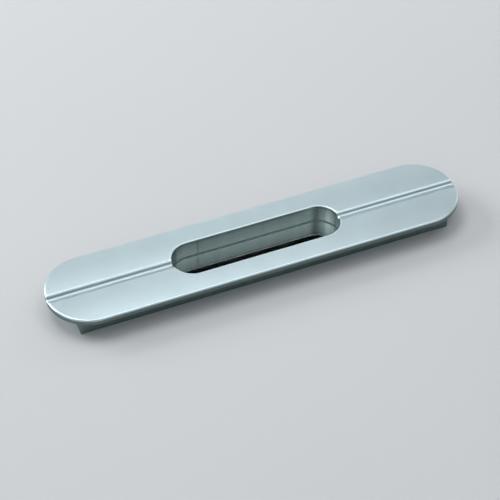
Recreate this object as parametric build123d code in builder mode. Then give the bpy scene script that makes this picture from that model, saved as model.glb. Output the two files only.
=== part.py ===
"""Recessed pull handle: a long face plate with full-round ends, a finger
pocket through its middle and a fine groove along its centre line.

Millimetres. X runs along the plate, Y across it, Z up, out of the door.
The origin is the middle of the plate's underside, the plane that meets the
door's face, so everything below zero sits in the door.
"""
from build123d import *
import os

# Face plate, each half of whose top face is crowned between the groove and the edge
plate_length = 200.0
plate_width = 40.0
plate_thickness = 2.7
plate_crown = 0.2
plate_edge_radius = 0.7

# Solid square-ended body under the plate, which drops into the door
body_length = 179.6
body_width = 31.0
body_height = 8.5
body_corner_radius = 0.5
body_edge_break = 0.3

# Finger pocket
pocket_length = 81.2
pocket_width = 19.2
pocket_rim_radius = 0.6

# Groove along the centre line: an arc this wide and deep before its lips are rounded
groove_width = 3.24
groove_depth = 1.2
groove_lip_radius = 2.4

# Polished plate that closes the pocket from below, let into the body's underside
floor_thickness = 1.7
floor_side_lap = 3.5
floor_end_lap = 8.0
floor_clearance = 0.15

# Chamfer round the foot of the pocket's wall, which leaves a thin dark line on the floor
pocket_foot_chamfer = 0.3

# Countersunk screws that hold the floor plate, one at each end of it
screw_radius = 1.25
screw_head_radius = 2.35
screw_length = 6.0
screw_head_depth = 0.1
screw_end_margin = 4.2
screw_socket_across_flats = 1.5
screw_socket_depth = 0.9
screw_tip_chamfer = 0.3
screw_hole_clearance = 0.15
thread_clearance = 0.02
thread_runout = 1.0
countersink_angle = 90

# Tapped fixing holes in the body's underside, at the tapping drill's size
fixing_spacing = 136.0
fixing_drill_radius = 1.65
fixing_depth = 7.0
fixing_chamfer = 0.4

# Levels
plate_top = plate_thickness
crown_foot = plate_top - plate_crown
groove_bottom = crown_foot - groove_depth
body_bottom = -body_height
floor_top = body_bottom + floor_thickness

# Floor plate's outline, and the places of the screws in it
floor_length = pocket_length + 2 * floor_end_lap
floor_width = pocket_width + 2 * floor_side_lap
screw_spacing = floor_length - 2 * screw_end_margin
screw_head_level = body_bottom + screw_head_depth

# Middle of each crown across the plate
crown_middle = (plate_width + groove_width) / 4

# Smallest step that tells one level or outline from the next
hair = 0.001


def edges_at(part, level):
    """Edges that lie flat at one level."""
    return part.edges().filter_by_position(Axis.Z, level - hair, level + hair)


def within(length, width):
    """Test for edges whose middle is inside a rectangle of this size about the Z axis."""
    return lambda edge: abs(edge.center().X) < length / 2 + hair and abs(edge.center().Y) < width / 2 + hair


with BuildPart() as face_plate:
    # Plate's section, with the groove in it, cut to full-round ends
    with BuildSketch(Plane.YZ.offset(-plate_length / 2)) as section:
        with BuildLine():
            Polyline(
                (-plate_width / 2, crown_foot),
                (-plate_width / 2, 0),
                (plate_width / 2, 0),
                (plate_width / 2, crown_foot),
            )
            ThreePointArc(
                (plate_width / 2, crown_foot),
                (crown_middle, plate_top),
                (groove_width / 2, crown_foot),
            )
            ThreePointArc(
                (groove_width / 2, crown_foot),
                (0, groove_bottom),
                (-groove_width / 2, crown_foot),
            )
            ThreePointArc(
                (-groove_width / 2, crown_foot),
                (-crown_middle, plate_top),
                (-plate_width / 2, crown_foot),
            )
        make_face()
        lips = section.vertices().filter_by(lambda corner: abs(corner.X) < groove_width / 2 + hair)
        fillet(lips, radius=groove_lip_radius)
    extrude(amount=plate_length)
    with BuildSketch(Plane.XY):
        SlotOverall(plate_length, plate_width)
    extrude(amount=plate_thickness, mode=Mode.INTERSECT)

    # Body, with its upright corners and its bottom edges broken
    with BuildSketch(Plane.XY.offset(body_bottom)):
        RectangleRounded(body_length, body_width, body_corner_radius)
    extrude(amount=body_height)
    chamfer(edges_at(face_plate, body_bottom), length=body_edge_break)

    # Finger pocket, right through
    with BuildSketch(Plane.XY.offset(body_bottom)):
        SlotOverall(pocket_length, pocket_width)
    extrude(amount=body_height + plate_thickness, mode=Mode.SUBTRACT)

    # Recess in the underside for the floor plate
    with BuildSketch(Plane.XY.offset(body_bottom)):
        SlotOverall(floor_length + 2 * floor_clearance, floor_width + 2 * floor_clearance)
    extrude(amount=floor_thickness, mode=Mode.SUBTRACT)
    chamfer(
        edges_at(face_plate, floor_top).filter_by(within(pocket_length, pocket_width)),
        length=pocket_foot_chamfer,
    )

    # Radii round the plate and round the pocket's mouth, which dip with the groove
    upper_edges = face_plate.edges().filter_by(lambda edge: edge.center().Z > groove_bottom - hair)
    groove_lines = upper_edges.filter_by(Axis.X).filter_by(within(plate_length, pocket_width / 2))
    mouth_edges = upper_edges.filter_by(within(pocket_length, pocket_width)) - groove_lines
    outer_edges = upper_edges - mouth_edges - groove_lines
    fillet(outer_edges, radius=plate_edge_radius)
    fillet(mouth_edges, radius=pocket_rim_radius)

    # Tapped holes from below: two to fix the handle, two for the floor plate's screws
    underside = Plane(origin=(0, 0, body_bottom), x_dir=(1, 0, 0), z_dir=(0, 0, -1))
    with Locations(underside):
        with GridLocations(fixing_spacing, 0, 2, 1):
            CounterSinkHole(
                fixing_drill_radius,
                fixing_drill_radius + fixing_chamfer,
                depth=fixing_depth,
                counter_sink_angle=countersink_angle,
            )
    with Locations(underside.offset(-floor_thickness)):
        with GridLocations(screw_spacing, 0, 2, 1):
            Hole(screw_radius + thread_clearance, depth=screw_length + thread_runout - floor_thickness)
face_plate.part.label = "face_plate"

with BuildPart() as floor_plate:
    with BuildSketch(Plane.XY.offset(body_bottom)):
        SlotOverall(floor_length, floor_width)
    extrude(amount=floor_thickness)
    with Locations(underside):
        with GridLocations(screw_spacing, 0, 2, 1):
            CounterSinkHole(
                screw_radius + screw_hole_clearance,
                screw_head_radius + screw_head_depth,
                counter_sink_angle=countersink_angle,
            )
floor_plate.part.label = "floor_plate"

# Screw: half its section turned about its axis, then a hexagon socket in the head
with BuildPart() as screw:
    with BuildSketch(Plane.XZ):
        with BuildLine():
            Polyline(
                (0, 0),
                (screw_head_radius, 0),
                (screw_radius, screw_head_radius - screw_radius),
                (screw_radius, screw_length - screw_tip_chamfer),
                (screw_radius - screw_tip_chamfer, screw_length),
                (0, screw_length),
                close=True,
            )
        make_face()
    revolve(axis=Axis.Z)
    with BuildSketch(Plane.XY):
        RegularPolygon(screw_socket_across_flats / 2, 6, major_radius=False)
    extrude(amount=screw_socket_depth, mode=Mode.SUBTRACT)

with BuildPart() as floor_screws:
    with Locations(Plane.XY.offset(screw_head_level)):
        with GridLocations(screw_spacing, 0, 2, 1):
            add(screw.part)
floor_screws.part.label = "floor_screws"

os.makedirs("parts", exist_ok=True)
export_step(face_plate.part, "parts/face_plate.step")
export_step(floor_plate.part, "parts/floor_plate.step")
export_step(floor_screws.part, "parts/floor_screws.step")
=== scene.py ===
import math

import bpy
from mathutils import Matrix, Vector


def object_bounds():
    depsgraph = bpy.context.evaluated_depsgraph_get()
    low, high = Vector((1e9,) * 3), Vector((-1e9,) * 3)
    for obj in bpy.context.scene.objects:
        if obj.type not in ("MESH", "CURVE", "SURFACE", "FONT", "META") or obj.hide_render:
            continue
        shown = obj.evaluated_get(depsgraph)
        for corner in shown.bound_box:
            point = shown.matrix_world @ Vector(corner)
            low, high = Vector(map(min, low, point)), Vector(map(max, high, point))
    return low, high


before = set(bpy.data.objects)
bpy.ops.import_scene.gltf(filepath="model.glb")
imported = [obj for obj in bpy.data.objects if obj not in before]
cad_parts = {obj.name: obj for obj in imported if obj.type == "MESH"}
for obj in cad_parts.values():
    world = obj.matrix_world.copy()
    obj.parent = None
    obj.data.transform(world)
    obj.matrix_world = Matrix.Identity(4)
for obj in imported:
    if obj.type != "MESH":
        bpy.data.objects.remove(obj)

cad_low, cad_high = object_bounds()

# Lengths are in metres. X runs along the handle, Y across it and away from the camera, and Z up
# from the plate's underside.

# Slot outlines of plate and pocket: half the length of the straight part, radius of the ends
plate_outline = (0.080, 0.020)
pocket_outline = (0.031, 0.0096)
pocket_rim_radius = 0.0006
plate_edge_height = 0.0025

# Colours, each from one end of its gradient to the other
face_colours = ((0.485, 0.602, 0.645), (0.515, 0.637, 0.683))
# The edges' colours are lighter than the face's: a painted highlight
edge_highlight_colours = ((0.66, 0.80, 0.85), (0.70, 0.84, 0.89))
# The outer sides' colours are darker than the face's: painted shade
shaded_outside_colours = ((0.18, 0.235, 0.23), (0.21, 0.27, 0.265))
# The wall's colours run from dark near the rim to light lower down: painted shade
wall_shade_colours = ((0.20, 0.245, 0.25), (0.66, 0.76, 0.76))
joint_colours = ((0.008, 0.011, 0.011), (0.012, 0.016, 0.016))
floor_plate_colours = ((0.78, 0.88, 0.875), (0.83, 0.93, 0.925))
screw_colours = ((0.42, 0.44, 0.46), (0.52, 0.54, 0.56))
ground_colours = ((0.635, 0.66, 0.681), (0.655, 0.68, 0.701))

# Face plate's zones. They are told apart by levelness, which is 0 on an upright side and 1 on a
# level face, by the height, and by how far a place lies past a slot outline.
face_levelness = (0.05, 0.6)  # where the face's colour starts, and where it is full
edge_highlight_levelness = (0.1, 0.35)  # the same for the lighter colour of the edges, a painted highlight
mouth_levelness_drop = 0.3    # taken off at the pocket's rim, so the wall's colour, with its painted shade, reaches up it
plate_highlight_band = 0.0008      # width of the plate's painted edge highlight
pocket_highlight_band = 0.0005     # half the width of the pocket's painted rim highlight
pocket_side_reach = 0.002     # a side within this of the pocket's outline is its wall
joint_reach = 0.0004          # the joint line lies within this of the pocket's outline
joint_top = -0.0062           # and under this height

# Painted shade on the pocket's wall, darker near the rim and lighter with depth: by how much,
# from which height down to which
wall_shade_gradients = ((0.6, 0.002, -0.006), (0.3, 0.0017, 0.0003))

# Line that the cutter left on the pocket's wall where it went in: its X, width and darkness
witness_x, witness_width, witness_darkness = -0.025, 0.0005, 0.5

# Share by which the pocket's wall and the outer sides are rougher than the face, or smoother
wall_coarser, outside_coarser = -0.3, 0.6

# Most of a noise lies between these
noise_low, noise_high = 0.3, 0.7


# Nodes

def new_material(name):
    """A material of one Principled shader: (material, its node tree, the shader)."""
    material = bpy.data.materials.new(name)
    material.use_nodes = True
    tree = material.node_tree
    tree.nodes.clear()
    shader = tree.nodes.new("ShaderNodeBsdfPrincipled")
    output = tree.nodes.new("ShaderNodeOutputMaterial")
    tree.links.new(shader.outputs["BSDF"], output.inputs["Surface"])
    return material, tree, shader


def split(tree, vector):
    """The vector's X, Y and Z."""
    node = tree.nodes.new("ShaderNodeSeparateXYZ")
    tree.links.new(vector, node.inputs["Vector"])
    return node.outputs["X"], node.outputs["Y"], node.outputs["Z"]


def noise(tree, scale, detail, stretch=(1, 1, 1)):
    """A noise over the object's own metres. scale is in features per metre."""
    place = tree.nodes.new("ShaderNodeTexCoord")
    mapping = tree.nodes.new("ShaderNodeMapping")
    mapping.inputs["Scale"].default_value = stretch
    texture = tree.nodes.new("ShaderNodeTexNoise")
    texture.inputs["Scale"].default_value = scale
    texture.inputs["Detail"].default_value = detail
    tree.links.new(place.outputs["Object"], mapping.inputs["Vector"])
    tree.links.new(mapping.outputs["Vector"], texture.inputs["Vector"])
    return texture.outputs["Fac"]


def spread(tree, value, low, high, start=noise_low, end=noise_high):
    """Goes from low to high as the value goes from start to end, and no further."""
    node = tree.nodes.new("ShaderNodeMapRange")
    node.inputs["From Min"].default_value = start
    node.inputs["From Max"].default_value = end
    node.inputs["To Min"].default_value = low
    node.inputs["To Max"].default_value = high
    tree.links.new(value, node.inputs["Value"])
    return node.outputs["Result"]


def tint(tree, value, first, last, start=noise_low, end=noise_high):
    """Goes from the first colour to the last as the value goes from start to end."""
    ramp = tree.nodes.new("ShaderNodeValToRGB")
    for stop, place, colour in zip(ramp.color_ramp.elements, (start, end), (first, last)):
        stop.position = place
        stop.color = (*colour, 1)
    tree.links.new(value, ramp.inputs["Fac"])
    return ramp.outputs["Color"]


def compute(tree, operation, first, second=0.0):
    """A Math node of two values, each a socket or a number."""
    node = tree.nodes.new("ShaderNodeMath")
    node.operation = operation
    for socket, value in zip(node.inputs, (first, second)):
        if isinstance(value, (int, float)):
            socket.default_value = value
        else:
            tree.links.new(value, socket)
    return node.outputs["Value"]


def mix(tree, factor, first, second):
    """The first colour where the factor is 0, the second where it is 1."""
    node = tree.nodes.new("ShaderNodeMixRGB")
    for socket, value in zip(node.inputs, (factor, first, second)):
        tree.links.new(value, socket)
    return node.outputs["Color"]


def add_bump(tree, shader, height, strength, distance):
    """Roughens the shader's normal by that height, whose full range is distance metres."""
    bump = tree.nodes.new("ShaderNodeBump")
    bump.inputs["Strength"].default_value = strength
    bump.inputs["Distance"].default_value = distance
    tree.links.new(height, bump.inputs["Height"])
    tree.links.new(bump.outputs["Normal"], shader.inputs["Normal"])


def beyond_slot(tree, along, across, straight, radius):
    """Metres past a slot outline about the origin. along is from its middle, never negative."""
    over = compute(tree, "MAXIMUM", compute(tree, "SUBTRACT", along, straight), 0)
    square = compute(
        tree, "ADD",
        compute(tree, "MULTIPLY", over, over), compute(tree, "MULTIPLY", across, across),
    )
    return compute(tree, "SUBTRACT", compute(tree, "SQRT", square), radius)


# Materials

def satin_aluminium():
    """Anodised aluminium with a fine even grain, with painted shade darkening its outer sides
    and the top of the pocket's wall, and a painted highlight lightening its edges.
    """
    material, tree, shader = new_material("satin_aluminium")
    place = tree.nodes.new("ShaderNodeTexCoord")
    x, y, height = split(tree, place.outputs["Object"])
    normal_z = split(tree, place.outputs["Normal"])[2]
    along = compute(tree, "ABSOLUTE", x)
    past_plate = beyond_slot(tree, along, y, *plate_outline)
    past_pocket = beyond_slot(tree, along, y, *pocket_outline)

    at_mouth = compute(tree, "LESS_THAN", past_pocket, pocket_rim_radius)
    levelness = compute(
        tree, "SUBTRACT",
        compute(tree, "ABSOLUTE", normal_z),
        compute(tree, "MULTIPLY", at_mouth, mouth_levelness_drop),
    )
    on_face = spread(tree, levelness, 0, 1, *face_levelness)
    on_outside = compute(tree, "GREATER_THAN", past_pocket, pocket_side_reach)
    on_joint = compute(
        tree, "MULTIPLY",
        compute(tree, "LESS_THAN", height, joint_top),
        compute(tree, "LESS_THAN", past_pocket, joint_reach),
    )
    from_rim_middle = compute(
        tree, "ABSOLUTE", compute(tree, "SUBTRACT", past_pocket, pocket_rim_radius / 2)
    )
    # The plate's edge and the pocket's rim get a lighter colour: a painted highlight
    in_highlight_band = compute(
        tree, "MAXIMUM",
        compute(tree, "GREATER_THAN", past_plate, -plate_highlight_band),
        compute(tree, "LESS_THAN", from_rim_middle, pocket_highlight_band),
    )
    on_painted_highlight = compute(
        tree, "MULTIPLY", in_highlight_band, spread(tree, levelness, 0, 1, *edge_highlight_levelness)
    )

    cloud = noise(tree, scale=60, detail=3)
    streaks = noise(tree, scale=350, detail=3, stretch=(1, 1, 0.05))
    grain = noise(tree, scale=5200, detail=2)

    # Tone of the pocket's wall: upright cutter marks, painted shade that is darkest near the rim
    # and lightens with depth, and the witness line
    tone = spread(tree, streaks, low=0, high=0.1)
    for change, top, bottom in wall_shade_gradients:
        tone = compute(tree, "ADD", tone, spread(tree, height, 0, change, top, bottom))
    from_witness = compute(tree, "ABSOLUTE", compute(tree, "SUBTRACT", x, witness_x))
    witness = compute(tree, "LESS_THAN", from_witness, witness_width / 2)
    tone = compute(tree, "SUBTRACT", tone, compute(tree, "MULTIPLY", witness, witness_darkness))

    wall = tint(tree, tone, *wall_shade_colours, start=0, end=1)
    # The outer sides take a darker colour than the face: painted shade
    side = mix(tree, on_outside, wall, tint(tree, streaks, *shaded_outside_colours))
    colour = mix(tree, on_face, side, tint(tree, cloud, *face_colours))
    colour = mix(tree, on_joint, colour, tint(tree, streaks, *joint_colours))
    colour = mix(tree, on_painted_highlight, colour, tint(tree, cloud, *edge_highlight_colours))
    tree.links.new(colour, shader.inputs["Base Color"])

    coarser = compute(
        tree, "MULTIPLY",
        compute(tree, "SUBTRACT", 1, on_face),
        spread(tree, on_outside, wall_coarser, outside_coarser, start=0, end=1),
    )
    roughness = compute(
        tree, "MULTIPLY",
        spread(tree, grain, low=0.30, high=0.38), compute(tree, "ADD", coarser, 1),
    )

    # The joint line is a dark gap: fully rough, no metal, and hardly glossy
    tree.links.new(compute(tree, "ADD", roughness, on_joint), shader.inputs["Roughness"])
    tree.links.new(compute(tree, "SUBTRACT", 1, on_joint), shader.inputs["Metallic"])
    shader.inputs["Specular IOR Level"].default_value = 0.1
    add_bump(tree, shader, grain, strength=0.25, distance=0.00002)
    return material


def polished_floor():
    """Polished metal with the faint long haze that polishing leaves."""
    material, tree, shader = new_material("polished_floor")
    shader.inputs["Metallic"].default_value = 1.0
    haze = noise(tree, scale=900, detail=3, stretch=(0.12, 1, 1))
    tree.links.new(tint(tree, haze, *floor_plate_colours), shader.inputs["Base Color"])
    tree.links.new(spread(tree, haze, low=0.05, high=0.09), shader.inputs["Roughness"])
    add_bump(tree, shader, haze, strength=0.05, distance=0.00001)
    return material


def screw_steel():
    """Bright steel with a fine grain."""
    material, tree, shader = new_material("screw_steel")
    shader.inputs["Metallic"].default_value = 1.0
    grain = noise(tree, scale=4000, detail=2)
    tree.links.new(tint(tree, grain, *screw_colours), shader.inputs["Base Color"])
    tree.links.new(spread(tree, grain, low=0.25, high=0.4), shader.inputs["Roughness"])
    add_bump(tree, shader, grain, strength=0.2, distance=0.00002)
    return material


def pale_floor():
    """Smooth matt board with a faint unevenness, for the ground."""
    material, tree, shader = new_material("pale_floor")
    cloud = noise(tree, scale=3, detail=2)
    tree.links.new(tint(tree, cloud, *ground_colours), shader.inputs["Base Color"])
    shader.inputs["Roughness"].default_value = 0.85
    shader.inputs["Specular IOR Level"].default_value = 0.2
    return material


def paint(node, material):
    """Gives a node's object that one material."""
    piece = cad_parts[node]
    piece.data.materials.clear()
    piece.data.materials.append(material)


paint("face_plate", satin_aluminium())
paint("floor_plate", polished_floor())
paint("floor_screws", screw_steel())


# Ground under the handle, which reaches this far out each way

ground_reach = 3.0
corners = ((-1, -1), (1, -1), (1, 1), (-1, 1))

mesh = bpy.data.meshes.new("ground")
mesh.from_pydata(
    [(x * ground_reach, y * ground_reach, cad_low.z) for x, y in corners], [], [(0, 1, 2, 3)]
)
mesh.materials.append(pale_floor())
ground = bpy.data.objects.new("ground", mesh)
bpy.context.scene.collection.objects.link(ground)


# Lamps

lamp_distance = 1.5

# Name, azimuth and elevation of its place, degrees that it fills across and up, and radiance
lamps = (
    ("key", -47, 25, 36, 22, 6.8),
    ("left", -88, 45, 40, 26, 0.35),
    ("right", 65, 27, 34, 16, 1.5),
    ("low_strip", 15, 36.5, 40, 5, 3.2),
    ("high_strip", 31, 56, 36, 6, 2.4),
    ("top", -32, 69, 26, 28, 4.3),
    ("top_right", 62, 66, 50, 18, 1.2),
    ("front_top", 115, 72, 40, 24, 0.85),
)


def direction(azimuth, elevation):
    """From the handle to a place round it: azimuth 0 is behind it (+Y), 90 to its right (+X)."""
    a, e = math.radians(azimuth), math.radians(elevation)
    return Vector((math.sin(a) * math.cos(e), math.cos(a) * math.cos(e), math.sin(e)))


def soft_box(name, azimuth, elevation, across, up, radiance):
    """A rectangular lamp that faces the handle and fills those angles, seen from there."""
    lamp = bpy.data.lights.new(name, "AREA")
    lamp.shape = "RECTANGLE"
    lamp.size = 2 * lamp_distance * math.tan(math.radians(across / 2))
    lamp.size_y = 2 * lamp_distance * math.tan(math.radians(up / 2))
    lamp.energy = radiance * math.pi * lamp.size * lamp.size_y
    box = bpy.data.objects.new(name, lamp)
    towards = direction(azimuth, elevation)
    box.location = towards * lamp_distance
    box.rotation_mode = "QUATERNION"
    box.rotation_quaternion = (-towards).to_track_quat("-Z", "Y")
    bpy.context.scene.collection.objects.link(box)


for lamp_row in lamps:
    soft_box(*lamp_row)


# World

# Brightness of the sky by the direction's X, from -1 at the left to 1 at the right
sky_levels = (
    (-0.8, 0.45), (-0.42, 0.26), (-0.2, 0.12), (0.05, 0.08),
    (0.27, 0.31), (0.5, 0.27), (0.65, 0.22),
)
sky_tint = (1, 1.03, 1.03)
horizon_colour = (0.98, 1, 1, 1)


def studio_world():
    """A sky over the camera's side, and a pale horizon all round."""
    world = bpy.data.worlds.new("studio")
    world.use_nodes = True
    tree = world.node_tree
    tree.nodes.clear()
    place = tree.nodes.new("ShaderNodeTexCoord")
    x, y, z = split(tree, place.outputs["Generated"])

    ramp = tree.nodes.new("ShaderNodeValToRGB")
    tree.links.new(spread(tree, x, 0, 1, start=-1, end=1), ramp.inputs["Fac"])
    stops = ramp.color_ramp.elements
    while len(stops) < len(sky_levels):
        stops.new(0.5)
    for stop, (side, brightness) in zip(stops, sky_levels):
        stop.position = (side + 1) / 2
        stop.color = (*(brightness * share for share in sky_tint), 1)

    camera_side = spread(tree, y, low=1, high=0, start=-0.35, end=0.2)
    overhead = spread(tree, z, low=0.15, high=1, start=0.25, end=0.6)
    sky = tree.nodes.new("ShaderNodeBackground")
    tree.links.new(ramp.outputs["Color"], sky.inputs["Color"])
    tree.links.new(compute(tree, "MULTIPLY", camera_side, overhead), sky.inputs["Strength"])

    low_down = spread(tree, z, low=0.42, high=0, start=0.35, end=0.62)
    horizon = tree.nodes.new("ShaderNodeBackground")
    horizon.inputs["Color"].default_value = horizon_colour
    tree.links.new(low_down, horizon.inputs["Strength"])

    both = tree.nodes.new("ShaderNodeAddShader")
    tree.links.new(sky.outputs["Background"], both.inputs[0])
    tree.links.new(horizon.outputs["Background"], both.inputs[1])
    output = tree.nodes.new("ShaderNodeOutputWorld")
    tree.links.new(both.outputs["Shader"], output.inputs["Surface"])
    return world


bpy.context.scene.world = studio_world()


# Camera, placed from the middle of the plate at the height of its top edges

camera_azimuth, camera_elevation, camera_roll = 202.95, 45.83, 0.70
camera_distance = 0.81750
middle_right, middle_up = 0.00303, 0.00485  # how far that middle shows off the picture's centre
focal_pixels, picture_pixels = 1801.70, 500  # focal length and width of the picture

back = direction(camera_azimuth, camera_elevation)
level_right = direction(camera_azimuth - 90, 0)
level_up = back.cross(level_right)
roll = math.radians(camera_roll)
right = math.cos(roll) * level_right + math.sin(roll) * level_up
up = math.cos(roll) * level_up - math.sin(roll) * level_right

lens = bpy.data.cameras.new("camera")
lens.sensor_width = 36
lens.lens = focal_pixels * lens.sensor_width / picture_pixels
lens.clip_start, lens.clip_end = 0.05, 20
camera = bpy.data.objects.new("camera", lens)
bpy.context.scene.collection.objects.link(camera)
bpy.context.scene.camera = camera
middle = Vector((0, 0, plate_edge_height))
eye = middle + back * camera_distance - right * middle_right - up * middle_up
turn = Matrix((right, up, back)).transposed()
camera.matrix_world = Matrix.Translation(eye) @ turn.to_4x4()

bpy.context.scene.view_settings.view_transform = "Standard"
